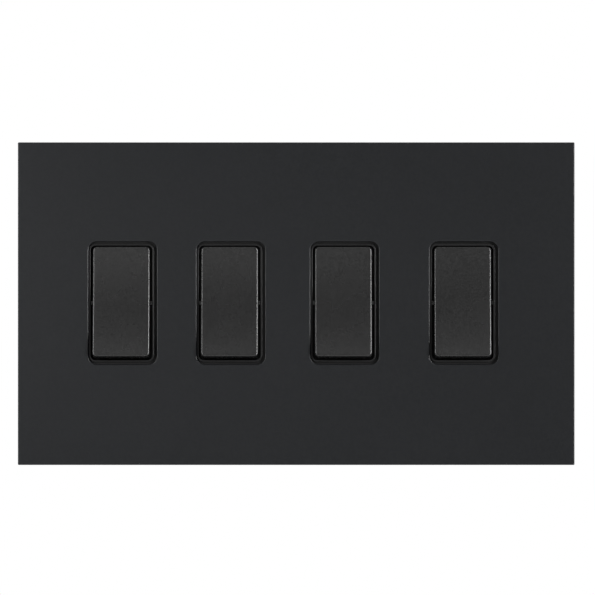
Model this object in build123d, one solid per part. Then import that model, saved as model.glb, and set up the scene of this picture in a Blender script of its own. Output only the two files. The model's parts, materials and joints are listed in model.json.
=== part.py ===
from build123d import *
from itertools import accumulate
from math import cos, radians, sin, sqrt
import os

# Four-gang light switch: a flat screwless wall plate with a row of four two-way rocker modules.
# Millimetres. X runs right as seen from the front, Y runs into the wall and Z runs up.
# The origin is midway between the two fixing holes, in the plane of the wall.
# Every rocker is drawn in its off position, with its top end pressed in.

# Row of gangs, left to right, and its height above the fixing holes.
# Together the steps make the 120.6 mm fixing centres of a twin wall box.
FIXING_TO_GANG_1 = 14.3
GANG_1_TO_2 = 28.7
GANG_2_TO_3 = 30.15
GANG_3_TO_4 = 31.6
GANG_4_TO_FIXING = 15.85
ROW_RISE = 0.2

# Front plate: flat steel sheet with one window for each gang
FIXING_TO_EDGE = 13.45
WINDOW_TO_EDGE = 26.45
PLATE_PROJECTION = 5.0
SHEET_THICKNESS = 1.5
SHEET_EDGE_BEVEL = 0.25
WINDOW_WIDTH = 18.05
WINDOW_HEIGHT = 32.6
WINDOW_CORNER_RADIUS = 2.2
WINDOW_EDGE_BEVEL = 0.4

# Mounting frame: pressed steel, screwed to the wall box
FRAME_THICKNESS = 1.2
FIXING_TO_FRAME_EDGE = 6.7
PLATE_TO_FRAME_EDGE = 6.75
FRAME_CORNER_BEVEL = 2.0
FIXING_HOLE_RADIUS = 2.1
FRAME_WINDOW_GAP = 0.2

# Plate carrier: moulding bonded to the sheet, snapped on to the mounting frame
CARRIER_INSET = 1.5
CARRIER_FRAME_GAP = 0.3
CARRIER_WEB = 1.2
CARRIER_RIB = 1.2
CARRIER_POCKET_GAP = 0.3
SCREW_HEAD_ROOM = 9.5
HOOK_FROM_FIXING = 15.3
HOOK_FROM_FRAME_EDGE = 7.0
HOOK_WIDTH = 4.4
HOOK_THICKNESS = 1.2
HOOK_LENGTH = 1.9
HOOK_CATCH = 0.7
HOOK_SIDE_GAP = 0.3
HOOK_BACK_GAP = 0.15
HOOK_FLEX_ROOM = 1.0

# Module housing: collar through the plate's window, flange on the frame, body behind it
MODULE_SIDE_PLAY = 0.34
COLLAR_SIDE_GAP = 0.375
COLLAR_END_GAP = 0.65
COLLAR_LAND = 0.5
COLLAR_SETBACK = 0.7
COLLAR_CORNER_RADIUS = 1.8
HOUSING_SIDE_WALL = 1.1
HOUSING_END_WALL = 1.6
FLANGE_SIDE = 1.4
FLANGE_END = 3.2
FLANGE_SHEET_GAP = 0.1
CAVITY_DEPTH = 7.8
LEDGE_SIDE = 1.0
LEDGE_END = 1.7
LUG_WIDTH = 8.0
LUG_LENGTH = 1.8
LUG_CATCH = 0.9
LUG_BACK_GAP = 0.1

# Rocker: dished cap with a skirt, two trunnions and a hollow boss
ROCKER_SIDE_GAP = 0.575
ROCKER_END_GAP = 0.7
ROCKER_TILT = 5.5
ROCKER_DISH_RADIUS = 130.0
ROCKER_CORNER_RADIUS = 1.4
ROCKER_LIP_DEPTH = 1.2
ROCKER_LIP_RISE = 0.4
ROCKER_EDGE_BEVEL = 0.4
ROCKER_CAP = 1.7
ROCKER_WALL = 1.2
ROCKER_RIB = 0.9
PIVOT_DEPTH = 2.9
SKIRT_BEHIND_PIVOT = 1.45
TRUNNION_RADIUS = 0.7
TRUNNION_LENGTH = 1.45
BEARING_CLEARANCE = 0.05
BEARING_END_GAP = 0.2
BOSS_WALL = 1.0
BOSS_BEHIND_PIVOT = 5.6
BOSS_FLOOR = 0.9

# Plunger and its spring, which press on the contact arm through the rocker's boss
PLUNGER_WIDTH = 3.0
PLUNGER_CLEARANCE = 0.1
PLUNGER_GUIDED_LENGTH = 2.6
PLUNGER_SPIGOT_WIDTH = 1.2
PLUNGER_SPIGOT_LENGTH = 0.8
PLUNGER_ARM_GAP = 0.06
SPRING_WIRE_RADIUS = 0.2
SPRING_SIDE_GAP = 0.15
SPRING_END_GAP = 0.02
SPRING_TURNS = 3
SPRING_STEPS_PER_TURN = 6

# Contact arm: bent brass strip that rocks on the common terminal's fulcrum
ARM_BEHIND_PIVOT = 11.25
ARM_TILT = 10.0
ARM_WIDTH = 5.0
ARM_REACH = 4.5
ARM_PAD = 3.6
ARM_SEAT = 0.2
BRASS_THICKNESS = 0.8
FULCRUM_RADIUS = 0.4
FULCRUM_CLEARANCE = 0.05
FULCRUM_SIDE_GAP = 0.3
FULCRUM_HORN = 1.0
TIP_SIZE = 2.4
TIP_HEIGHT = 0.3
CONTACT_GAP = 0.1

# Base moulding and the terminals in it
BRIDGE_GAP = 0.8
SPIGOT_DEPTH = 1.0
SPIGOT_GAP = 0.15
BASE_SIDE_WALL = 1.35
BASE_END_WALL = 0.8
BASE_BACK_RIM = 1.6
COMMON_STRIP_WIDTH = 3.0
RUNNER_WIDTH = 1.4
STRIP_GAP = 0.1
BLOCK_WIDTH = 6.0
BLOCK_LENGTH = 5.7
BLOCK_GAP = 0.15
BLOCK_WALL = 0.9
WIRE_RADIUS = 1.75
WIRE_ENTRY_GAP = 0.45
BLOCK_BACK = 2.4

# Earth terminal, welded to the back of the mounting frame
EARTH_FROM_FRAME_EDGE = 10.0
EARTH_BLOCK_SIZE = 7.0

# How far a cutting solid runs past the faces it opens, and how deep joined solids run into each other
CUT = 1.0
JOIN = 0.4

# Places across the plate
fixing_centres = sum((FIXING_TO_GANG_1, GANG_1_TO_2, GANG_2_TO_3, GANG_3_TO_4, GANG_4_TO_FIXING))
fixing_x = fixing_centres / 2
gang_steps = (FIXING_TO_GANG_1, GANG_1_TO_2, GANG_2_TO_3, GANG_3_TO_4)
window_x = [distance - fixing_x for distance in accumulate(gang_steps)]
module_x = [x - MODULE_SIDE_PLAY for x in window_x]
plate_width = fixing_centres + 2 * FIXING_TO_EDGE
plate_height = WINDOW_HEIGHT + 2 * WINDOW_TO_EDGE
frame_width = fixing_centres + 2 * FIXING_TO_FRAME_EDGE
frame_height = plate_height - 2 * PLATE_TO_FRAME_EDGE
hook_x = fixing_x - HOOK_FROM_FIXING
hook_z = frame_height / 2 - HOOK_FROM_FRAME_EDGE
earth_x = (module_x[1] + module_x[2]) / 2
earth_z = frame_height / 2 - EARTH_FROM_FRAME_EDGE

# Depths of the plate, the frame and the housing
plate_face = -PLATE_PROJECTION
sheet_back = plate_face + SHEET_THICKNESS
frame_front = -FRAME_THICKNESS
collar_front = plate_face + COLLAR_SETBACK
flange_front = sheet_back + FLANGE_SHEET_GAP
pivot_y = plate_face + PIVOT_DEPTH
ledge_y = plate_face + CAVITY_DEPTH

# Sections of the housing, from the collar outwards
collar_width = WINDOW_WIDTH - 2 * COLLAR_SIDE_GAP
collar_height = WINDOW_HEIGHT - 2 * COLLAR_END_GAP
cavity_width = collar_width - 2 * COLLAR_LAND
cavity_height = collar_height - 2 * COLLAR_LAND
cavity_corner = COLLAR_CORNER_RADIUS - COLLAR_LAND
body_width = cavity_width + 2 * HOUSING_SIDE_WALL
body_height = cavity_height + 2 * HOUSING_END_WALL
flange_width = body_width + 2 * FLANGE_SIDE
flange_height = body_height + 2 * FLANGE_END
chamber_width = cavity_width - 2 * LEDGE_SIDE
chamber_height = cavity_height - 2 * LEDGE_END

# Rocker in its middle position, before it is tipped to off
rocker_width = cavity_width - 2 * ROCKER_SIDE_GAP
rocker_height = cavity_height - 2 * ROCKER_END_GAP
tilt_sin = sin(radians(ROCKER_TILT))
tilt_cos = cos(radians(ROCKER_TILT))
rocker_end = pivot_y + (plate_face - pivot_y - rocker_height / 2 * tilt_sin) / tilt_cos
rocker_dish = ROCKER_DISH_RADIUS - sqrt(ROCKER_DISH_RADIUS**2 - (rocker_height / 2) ** 2)
cap_back = rocker_end + rocker_dish + ROCKER_CAP
skirt_back = pivot_y + SKIRT_BEHIND_PIVOT
boss_back = pivot_y + BOSS_BEHIND_PIVOT
boss_bore = PLUNGER_WIDTH + 2 * PLUNGER_CLEARANCE
bore_floor = cap_back + BOSS_FLOOR

# Depths of the mechanism and the base
arm_axis = pivot_y + ARM_BEHIND_PIVOT
arm_back = arm_axis - ARM_SEAT
arm_front = arm_back - BRASS_THICKNESS
plunger_tip = arm_front - PLUNGER_ARM_GAP
nose_centre = plunger_tip - PLUNGER_WIDTH / 2
plunger_head = boss_back - PLUNGER_GUIDED_LENGTH
horn_x = ARM_WIDTH / 2 + FULCRUM_SIDE_GAP + FULCRUM_HORN / 2
arm_sin = sin(radians(ARM_TILT))
arm_cos = cos(radians(ARM_TILT))
closed_pad_back = arm_axis + ARM_REACH * arm_sin - ARM_SEAT * arm_cos
pad_front = closed_pad_back + 2 * TIP_HEIGHT + CONTACT_GAP
contact_z = ARM_REACH * arm_cos + ARM_SEAT * arm_sin + ARM_PAD / 2
floor_y = pad_front + BRASS_THICKNESS
split_y = floor_y + SPIGOT_DEPTH
common_front = floor_y + BRIDGE_GAP
common_back = common_front + BRASS_THICKNESS
block_front = split_y + BLOCK_GAP
wire_y = block_front + BLOCK_WALL + WIRE_RADIUS
block_back = wire_y + WIRE_RADIUS + BLOCK_BACK
base_back = block_back + BASE_BACK_RIM

# Places of the terminals inside the base
block_outer_z = body_height / 2 - BASE_END_WALL - BLOCK_GAP
block_inner_z = block_outer_z - BLOCK_LENGTH
block_z = (block_outer_z + block_inner_z) / 2
line_x = body_width / 2 - BASE_SIDE_WALL - BLOCK_GAP - BLOCK_WIDTH / 2


def front_plane(y, x=0.0, z=0.0):
    """A drawing plane seen from the front, at depth y, with its own origin at (x, z)."""
    return Plane((x, y, z), x_dir=(1, 0, 0), z_dir=(0, -1, 0))


def slab(width, height, front, back, radius=0.0, x=0.0, z=0.0):
    """A block from depth front to depth back, with rounded corners where a radius is given."""
    outline = RectangleRounded(width, height, radius) if radius else Rectangle(width, height)
    return extrude(front_plane(front, x, z) * outline, front - back)


def bar_y(radius, front, back, x=0.0, z=0.0):
    """A round bar along Y."""
    return extrude(front_plane(front, x, z) * Circle(radius), front - back)


def bar_x(radius, left, right, y, z=0.0):
    """A round bar along X."""
    return extrude(Plane((left, y, z), x_dir=(0, 1, 0), z_dir=(1, 0, 0)) * Circle(radius), right - left)


def bar_z(radius, low, high, x, y):
    """A round bar along Z."""
    return extrude(Plane((x, y, low)) * Circle(radius), high - low)


def side_profile(width, *points):
    """A prism of this width along X, from (y, z) corner points."""
    return extrude(Plane.YZ * make_face(Polyline(*points, close=True)), width / 2, both=True)


def turned(shape, angle, y, z=0.0):
    """The shape turned by this angle about the line along X through (y, z)."""
    return Pos(0, y, z) * Rot(angle, 0, 0) * Pos(0, -y, -z) * shape


def top_and_bottom(shape):
    """The shape and its mirror image below the middle."""
    return [shape, mirror(shape, Plane.XY)]


def front_plate():
    """Flat sheet with a round-cornered, bevelled window for each gang."""
    sheet = slab(plate_width, plate_height, plate_face, sheet_back)
    for x in window_x:
        sheet -= slab(WINDOW_WIDTH, WINDOW_HEIGHT, plate_face - CUT, sheet_back + CUT,
                      WINDOW_CORNER_RADIUS, x, ROW_RISE)
    sheet = chamfer(sheet.faces().sort_by(Axis.Y)[0].outer_wire().edges(), SHEET_EDGE_BEVEL)
    windows = sheet.faces().sort_by(Axis.Y)[0].inner_wires()
    return chamfer([edge for window in windows for edge in window.edges()], WINDOW_EDGE_BEVEL)


def snap_hook():
    """One carrier hook: a post through the frame with a catch behind it, at the top right."""
    outer = hook_z + HOOK_THICKNESS / 2
    inner = hook_z - HOOK_THICKNESS / 2
    hook = side_profile(
        HOOK_WIDTH,
        (sheet_back + JOIN, inner),
        (sheet_back + JOIN, outer),
        (HOOK_BACK_GAP, outer),
        (HOOK_BACK_GAP, outer + HOOK_CATCH),
        (HOOK_LENGTH, outer),
        (HOOK_LENGTH, inner),
    )
    return Pos(hook_x, 0, 0) * hook


def plate_carrier():
    """Moulding behind the sheet: rim round the frame, thin web, ribs round the flanges, four hooks."""
    width = plate_width - 2 * CARRIER_INSET
    height = plate_height - 2 * CARRIER_INSET
    carrier = slab(width, height, sheet_back, 0)
    carrier -= slab(frame_width + 2 * CARRIER_FRAME_GAP, frame_height + 2 * CARRIER_FRAME_GAP,
                    sheet_back + CARRIER_WEB, CUT)
    pocket_width = flange_width + 2 * CARRIER_POCKET_GAP
    pocket_height = flange_height + 2 * CARRIER_POCKET_GAP
    for x in module_x:
        carrier += slab(pocket_width + 2 * CARRIER_RIB, pocket_height + 2 * CARRIER_RIB,
                        sheet_back, frame_front, x=x, z=ROW_RISE)
    for x in module_x:
        carrier -= slab(pocket_width, pocket_height, sheet_back - CUT, CUT, x=x, z=ROW_RISE)
    for side in (-1, 1):
        carrier -= slab(SCREW_HEAD_ROOM, SCREW_HEAD_ROOM, sheet_back - CUT, CUT, x=side * fixing_x)
    for hook in top_and_bottom(snap_hook()):
        carrier += hook
        carrier += mirror(hook, Plane.YZ)
    return carrier


def mounting_frame():
    """Flat pressed frame with module windows, fixing holes and hook slots."""
    frame = slab(frame_width, frame_height, frame_front, 0)
    frame = chamfer(frame.edges().filter_by(Axis.Y), FRAME_CORNER_BEVEL)
    for x in module_x:
        frame -= slab(body_width + 2 * FRAME_WINDOW_GAP, body_height + 2 * FRAME_WINDOW_GAP,
                      frame_front - CUT, CUT, x=x, z=ROW_RISE)
    slot_height = HOOK_THICKNESS + HOOK_FLEX_ROOM + HOOK_BACK_GAP
    slot_z = hook_z + HOOK_THICKNESS / 2 + HOOK_BACK_GAP - slot_height / 2
    for side in (-1, 1):
        frame -= bar_y(FIXING_HOLE_RADIUS, frame_front - CUT, CUT, side * fixing_x)
        for end in (-1, 1):
            frame -= slab(HOOK_WIDTH + 2 * HOOK_SIDE_GAP, slot_height, frame_front - CUT, CUT,
                          x=side * hook_x, z=end * slot_z)
    return frame


def housing():
    """Front moulding of a module: collar, flange and body round the rocker, with two snap lugs."""
    half_height = body_height / 2
    shell = slab(body_width, body_height, frame_front - JOIN, split_y)
    shell += slab(flange_width, flange_height, flange_front, frame_front)
    shell += slab(collar_width, collar_height, collar_front, flange_front + JOIN, COLLAR_CORNER_RADIUS)
    lug = side_profile(
        LUG_WIDTH,
        (LUG_BACK_GAP, half_height - JOIN),
        (LUG_BACK_GAP, half_height + LUG_CATCH),
        (LUG_BACK_GAP + LUG_LENGTH, half_height),
        (LUG_BACK_GAP + LUG_LENGTH, half_height - JOIN),
    )
    for snap in top_and_bottom(lug):
        shell += snap
    shell -= slab(cavity_width, cavity_height, collar_front - CUT, ledge_y, cavity_corner)
    shell -= slab(chamber_width, chamber_height, ledge_y - CUT, split_y + CUT)
    bearing_end = rocker_width / 2 + TRUNNION_LENGTH + BEARING_END_GAP
    return shell - bar_x(TRUNNION_RADIUS + BEARING_CLEARANCE, -bearing_end, bearing_end, pivot_y)


def rocker():
    """Dished rocker cap with sloping ends, its skirt, ribs, trunnions and the plunger's boss."""
    half_height = rocker_height / 2
    half_skirt = half_height + ROCKER_LIP_RISE
    lip_back = rocker_end + ROCKER_LIP_DEPTH
    face = ThreePointArc((rocker_end, -half_height), (rocker_end + rocker_dish, 0),
                         (rocker_end, half_height))
    back = Polyline((rocker_end, half_height), (lip_back, half_skirt), (skirt_back, half_skirt),
                    (skirt_back, -half_skirt), (lip_back, -half_skirt), (rocker_end, -half_height))
    cap = extrude(Plane.YZ * make_face([face, back]), rocker_width / 2, both=True)
    long_edges = cap.faces().filter_by(GeomType.CYLINDER).edges().filter_by(GeomType.CIRCLE)
    cap = chamfer(long_edges, ROCKER_EDGE_BEVEL)
    cap &= slab(rocker_width, 2 * half_skirt, rocker_end - CUT, skirt_back + CUT, ROCKER_CORNER_RADIUS)
    inner_width = rocker_width - 2 * ROCKER_WALL
    inner_height = rocker_height - 2 * ROCKER_WALL
    cap -= slab(inner_width, inner_height, cap_back, skirt_back + CUT)
    cap += slab(ROCKER_RIB, inner_height + 2 * JOIN, cap_back - JOIN, pivot_y)
    cap += slab(inner_width + 2 * JOIN, ROCKER_RIB, cap_back - JOIN, pivot_y)
    cap += slab(boss_bore + 2 * BOSS_WALL, boss_bore + 2 * BOSS_WALL, cap_back - JOIN, boss_back)
    for side in (-1, 1):
        cap += bar_x(TRUNNION_RADIUS, side * (rocker_width / 2 - JOIN),
                     side * (rocker_width / 2 + TRUNNION_LENGTH), pivot_y)
    return cap - slab(boss_bore, boss_bore, bore_floor, boss_back + CUT)


def plunger():
    """Square pin that slides in the rocker's boss: half-round nose on the arm, spigot inside the spring."""
    half = PLUNGER_WIDTH / 2
    nose = ThreePointArc((nose_centre, half), (plunger_tip, 0), (nose_centre, -half))
    back = Polyline((nose_centre, -half), (plunger_head, -half), (plunger_head, half), (nose_centre, half))
    pin = extrude(Plane.YZ * make_face([nose, back]), half, both=True)
    return pin + slab(PLUNGER_SPIGOT_WIDTH, PLUNGER_SPIGOT_WIDTH, plunger_head - PLUNGER_SPIGOT_LENGTH,
                      plunger_head + JOIN)


def plunger_spring():
    """Coil spring between the boss's floor and the plunger's head."""
    coil_radius = boss_bore / 2 - SPRING_SIDE_GAP - SPRING_WIRE_RADIUS
    first = bore_floor + SPRING_WIRE_RADIUS + SPRING_END_GAP
    last = plunger_head - SPRING_WIRE_RADIUS - SPRING_END_GAP
    steps = round(SPRING_TURNS * SPRING_STEPS_PER_TURN)
    path = Polyline(*[
        Vector(coil_radius, first + (last - first) * step / steps, 0).rotate(
            Axis.Y, 360 * step / SPRING_STEPS_PER_TURN)
        for step in range(steps + 1)
    ])
    start = Plane(path @ 0, z_dir=path % 0)
    return sweep(start * RegularPolygon(SPRING_WIRE_RADIUS, 6), path, transition=Transition.RIGHT)


def contact_arm():
    """Brass strip notched on the fulcrum, its ends bent so that each lies flat when it closes."""
    arm = slab(ARM_WIDTH, 2 * ARM_REACH, arm_front, arm_back)
    pad = slab(ARM_WIDTH, ARM_PAD, arm_front, arm_back, z=ARM_REACH + ARM_PAD / 2)
    for bent in top_and_bottom(turned(pad, ARM_TILT, arm_back, ARM_REACH)):
        arm += bent
    return arm - bar_x(FULCRUM_RADIUS + FULCRUM_CLEARANCE, -ARM_WIDTH, ARM_WIDTH, arm_axis)


def moving_contacts():
    """The two silver tips on the back of the arm's bent ends."""
    tip = slab(TIP_SIZE, TIP_SIZE, arm_back, arm_back + TIP_HEIGHT, z=ARM_REACH + ARM_PAD / 2)
    return Compound(top_and_bottom(turned(tip, ARM_TILT, arm_back, ARM_REACH)))


def fixed_contacts():
    """The two silver tips on the line terminals' strips."""
    tip = slab(TIP_SIZE, TIP_SIZE, pad_front - TIP_HEIGHT, pad_front, z=contact_z)
    return Compound(top_and_bottom(tip))


def terminal_block(x, end):
    """Brass block with a wire bore along Z, at the top of the base (end 1) or at the bottom (end -1)."""
    block = slab(BLOCK_WIDTH, BLOCK_LENGTH, block_front, block_back, x=x, z=end * block_z)
    return block - bar_z(WIRE_RADIUS, end * (block_inner_z - CUT), end * (block_outer_z + CUT), x, wire_y)


def common_terminal():
    """Terminal at the top with a strip to the fulcrum, whose horns keep the arm in line."""
    strip_end = block_inner_z + JOIN
    strip = slab(COMMON_STRIP_WIDTH, strip_end + FULCRUM_RADIUS, common_front, common_back,
                 z=(strip_end - FULCRUM_RADIUS) / 2)
    fulcrum = slab(2 * horn_x, 2 * FULCRUM_RADIUS, arm_axis, common_back)
    fulcrum += bar_x(FULCRUM_RADIUS, -horn_x, horn_x, arm_axis)
    for side in (-1, 1):
        fulcrum += slab(FULCRUM_HORN, 2 * FULCRUM_RADIUS, arm_front, common_back, x=side * horn_x)
    return terminal_block(0, 1) + strip + fulcrum


def line_terminal(side):
    """Terminal at the bottom with a strip to a fixed contact: side 1 the upper one, -1 the lower one."""
    x = side * line_x
    runner_low = -(block_inner_z + BRASS_THICKNESS)
    runner_high = side * contact_z + TIP_SIZE / 2
    pad_width = line_x + RUNNER_WIDTH / 2 + TIP_SIZE / 2
    pad_x = side * (pad_width / 2 - TIP_SIZE / 2)
    terminal = terminal_block(x, -1)
    terminal += slab(RUNNER_WIDTH, BRASS_THICKNESS, pad_front, block_front + JOIN,
                     x=x, z=runner_low + BRASS_THICKNESS / 2)
    terminal += slab(RUNNER_WIDTH, runner_high - runner_low, pad_front, floor_y,
                     x=x, z=(runner_high + runner_low) / 2)
    return terminal + slab(pad_width, TIP_SIZE, pad_front, floor_y, x=pad_x, z=side * contact_z)


def base():
    """Rear moulding of a module: spigot into the housing, strip groove and three open terminal wells."""
    body = slab(body_width, body_height, split_y, base_back)
    body += slab(chamber_width - 2 * SPIGOT_GAP, chamber_height - 2 * SPIGOT_GAP, floor_y, split_y + JOIN)
    groove_low = FULCRUM_RADIUS + STRIP_GAP
    body -= slab(COMMON_STRIP_WIDTH + 2 * STRIP_GAP, block_z + groove_low, floor_y - CUT, common_back,
                 z=(block_z - groove_low) / 2)
    body -= slab(2 * horn_x + FULCRUM_HORN + 2 * STRIP_GAP, 2 * groove_low, floor_y - CUT, common_back)
    entry = WIRE_RADIUS + WIRE_ENTRY_GAP
    for x, end in terminal_places():
        body -= slab(BLOCK_WIDTH + 2 * BLOCK_GAP, BLOCK_LENGTH + 2 * BLOCK_GAP,
                     floor_y - CUT, base_back + CUT, x=x, z=end * block_z)
        body -= slab(2 * entry, BASE_END_WALL + 2 * CUT, wire_y - entry, base_back + CUT,
                     x=x, z=end * body_height / 2)
    return body


def terminal_places():
    """Where the three terminals of a module stand: (x, 1 at the top or -1 at the bottom)."""
    return [(0, 1), (-line_x, -1), (line_x, -1)]


def earth_terminal():
    """Brass block behind the frame, with a wire bore along Z."""
    bore_y = BLOCK_WALL + WIRE_RADIUS
    half = EARTH_BLOCK_SIZE / 2
    block = slab(EARTH_BLOCK_SIZE, EARTH_BLOCK_SIZE, 0, bore_y + WIRE_RADIUS + BLOCK_BACK,
                 x=earth_x, z=earth_z)
    return block - bar_z(WIRE_RADIUS, earth_z - half - CUT, earth_z + half + CUT, earth_x, bore_y)


def module_pieces():
    """Every piece of one module by name, about the module's own middle, with the rocker tipped to off."""
    return {
        "housing": housing(),
        "base": base(),
        "rocker": turned(rocker(), -ROCKER_TILT, pivot_y),
        "plunger": turned(plunger(), -ROCKER_TILT, pivot_y),
        "plunger_spring": turned(plunger_spring(), -ROCKER_TILT, pivot_y),
        "contact_arm": turned(contact_arm(), ARM_TILT, arm_axis),
        "moving_contacts": turned(moving_contacts(), ARM_TILT, arm_axis),
        "fixed_contacts": fixed_contacts(),
        "common_terminal": common_terminal(),
        "l1_terminal": line_terminal(1),
        "l2_terminal": line_terminal(-1),
    }


def main():
    """Build every piece and write one STEP file for each."""
    pieces = {
        "front_plate": front_plate(),
        "plate_carrier": plate_carrier(),
        "mounting_frame": mounting_frame(),
        "earth_terminal": earth_terminal(),
    }
    module = module_pieces()
    for gang, x in enumerate(module_x, start=1):
        for name, shape in module.items():
            pieces[f"{name}_{gang}"] = Pos(x, 0, ROW_RISE) * shape
    os.makedirs("parts", exist_ok=True)
    for name, shape in pieces.items():
        export_step(shape, f"parts/{name}.step")


main()
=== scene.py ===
"""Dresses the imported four-gang light switch: fine front plate and rockers, soft moulded edges, springs,
terminal screws, finishes and a plain studio. Sizes are in millimetres until a mesh is finished in metres."""

import json
import logging
import math
from dataclasses import asdict, dataclass
from enum import Enum
from functools import cache

import bmesh
import bpy
from mathutils import Matrix, Vector


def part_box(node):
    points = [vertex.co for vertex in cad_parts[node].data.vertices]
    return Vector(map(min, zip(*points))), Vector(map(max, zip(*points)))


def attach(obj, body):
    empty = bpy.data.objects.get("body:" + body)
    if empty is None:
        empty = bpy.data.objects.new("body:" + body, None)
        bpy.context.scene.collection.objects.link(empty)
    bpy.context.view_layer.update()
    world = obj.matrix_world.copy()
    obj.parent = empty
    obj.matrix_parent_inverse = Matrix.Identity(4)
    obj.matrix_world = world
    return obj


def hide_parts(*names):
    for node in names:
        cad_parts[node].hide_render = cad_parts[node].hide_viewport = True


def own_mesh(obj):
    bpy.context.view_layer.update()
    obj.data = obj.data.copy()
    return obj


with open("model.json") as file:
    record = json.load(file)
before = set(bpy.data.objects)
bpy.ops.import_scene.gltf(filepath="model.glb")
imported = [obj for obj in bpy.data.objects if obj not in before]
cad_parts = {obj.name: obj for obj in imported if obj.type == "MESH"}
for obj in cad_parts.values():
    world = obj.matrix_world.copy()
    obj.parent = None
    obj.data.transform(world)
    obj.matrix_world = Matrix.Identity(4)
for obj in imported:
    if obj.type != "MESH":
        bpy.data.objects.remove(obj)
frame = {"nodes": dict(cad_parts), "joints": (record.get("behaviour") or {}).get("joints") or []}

LOG = logging.getLogger("light_switch")
MM = 0.001
GANGS = (1, 2, 3, 4)
ROOT_BODY = "switch"
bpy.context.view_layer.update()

RIGHT = Vector((1, 0, 0))
INWARD = Vector((0, 1, 0))
WHITE = (1, 1, 1, 1)

# Finished points nearer to each other than this become one.
WELD = 0.0005
# Points of a solid nearer to each other than this are the same corner.
SAME_CORNER = 0.0001
# Points of a block this near to its hindmost point lie on its back.
ON_BACK = 0.01
# Faces of a solid that turn by fewer degrees than this are one flat.
FLAT_ANGLE = 0.3
# The part of a noise that colours and roughness follow.
NOISE_RANGE = (0.3, 0.7)
# Share of the rounded cells in the height of the grain.
CELL_SHARE = 0.5
# Drawn marks to a metre along X, Y and Z.
DRAWN_SCALE = (60, 4000, 4000)

Colour = tuple[float, float, float]
Ring = list[Vector]
Verts = list[bmesh.types.BMVert]
Socket = bpy.types.NodeSocket
Inputs = dict[str | int, object]


class Slot(Enum):
    """The record's material slots."""

    PLATE = "plate_paint"
    MOULDING = "black_moulding"
    ROCKER = "rocker_plastic"
    PLUNGER = "natural_plastic"
    FRAME = "zinc_steel"
    SPRING = "spring_steel"
    BRASS = "brass"
    SILVER = "silver"


class Cut(Enum):
    """How one closed mesh is combined with another."""

    ADD = "UNION"
    TAKE_AWAY = "DIFFERENCE"


Materials = dict[Slot, bpy.types.Material]


# Mesh tools


@dataclass(frozen=True)
class Steps:
    """How finely a rounded rectangle is divided.

    Attributes:
        corner: Steps in each corner.
        long_side: Steps along each upright side.
        short_side: Steps along the top and the bottom.
    """

    corner: int
    long_side: int = 1
    short_side: int = 1


def rounded_ring(width: float, height: float, radius: float, depth: float, steps: Steps) -> Ring:
    """A rounded rectangle seen from the front, as points that run anticlockwise.

    Args:
        width: Size along X.
        height: Size along Z.
        radius: Corner radius.
        depth: Place along Y.
        steps: How finely it is divided.

    Returns:
        The points of the ring.
    """
    half_w, half_h = width / 2 - radius, height / 2 - radius
    centres = ((half_w, half_h), (-half_w, half_h), (-half_w, -half_h), (half_w, -half_h))
    points: Ring = []
    for quarter, (x, z) in enumerate(centres):
        for step in range(steps.corner + 1):
            turn = math.pi / 2 * (quarter + step / steps.corner)
            points.append(Vector((x + radius * math.cos(turn), depth, z + radius * math.sin(turn))))
        next_x, next_z = centres[(quarter + 1) % 4]
        turn = math.pi / 2 * (quarter + 1)
        start = points[-1]
        end = Vector((next_x + radius * math.cos(turn), depth, next_z + radius * math.sin(turn)))
        parts = steps.short_side if quarter % 2 == 0 else steps.long_side
        points += [start.lerp(end, part / parts) for part in range(1, parts)]
    return points


def round_over(radius: float, steps: int) -> list[tuple[float, float]]:
    """Inset and drop of each step of a quarter round, from the face to the side.

    Args:
        radius: Radius of the edge.
        steps: Steps in the quarter.

    Returns:
        Pairs of inset from the side and drop below the face.
    """
    turns = [math.pi / 2 * step / steps for step in range(steps + 1)]
    return [(radius * (1 - math.sin(turn)), radius * (1 - math.cos(turn))) for turn in turns]


def skin(bm: bmesh.types.BMesh, rings: list[Ring]) -> list[Verts]:
    """Joins rings of equal length with quads.

    Args:
        bm: Mesh that gets the faces.
        rings: Rings in order.

    Returns:
        The vertices of each ring.
    """
    rows = [[bm.verts.new(point) for point in ring] for ring in rings]
    for near, far in zip(rows, rows[1:]):
        for index in range(len(near)):
            after = (index + 1) % len(near)
            bm.faces.new((near[index], near[after], far[after], far[index]))
    return rows


def fill(bm: bmesh.types.BMesh, loops: list[Verts], normal: Vector) -> None:
    """Fills the face between an outline and its holes.

    Args:
        bm: Mesh that gets the faces.
        loops: Vertices of the outline and of each hole.
        normal: The way that the face looks.
    """
    edges = []
    for loop in loops:
        for index, vert in enumerate(loop):
            after = loop[(index + 1) % len(loop)]
            edges.append(bm.edges.get((vert, after)) or bm.edges.new((vert, after)))
    bmesh.ops.triangle_fill(bm, use_beauty=True, use_dissolve=False, edges=edges, normal=normal)


def closed_mesh(bm: bmesh.types.BMesh, name: str) -> bpy.types.Mesh:
    """Finishes a shape, with its faces turned outwards.

    Args:
        bm: The shape, which is used up.
        name: Name of the mesh.

    Returns:
        The mesh.
    """
    bmesh.ops.recalc_face_normals(bm, faces=bm.faces)
    mesh = bpy.data.meshes.new(name)
    bm.to_mesh(mesh)
    bm.free()
    return mesh


def block(name: str, size: Vector, centre: Vector) -> bpy.types.Mesh:
    """A plain block that other shapes are joined with or cut by.

    Args:
        name: Name of the mesh.
        size: Size along the three axes.
        centre: Middle of the block.

    Returns:
        The mesh.
    """
    bm = bmesh.new()
    bmesh.ops.create_cube(bm, size=1.0, matrix=Matrix.Translation(centre) @ Matrix.Diagonal((*size, 1)))
    return closed_mesh(bm, name)


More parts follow.
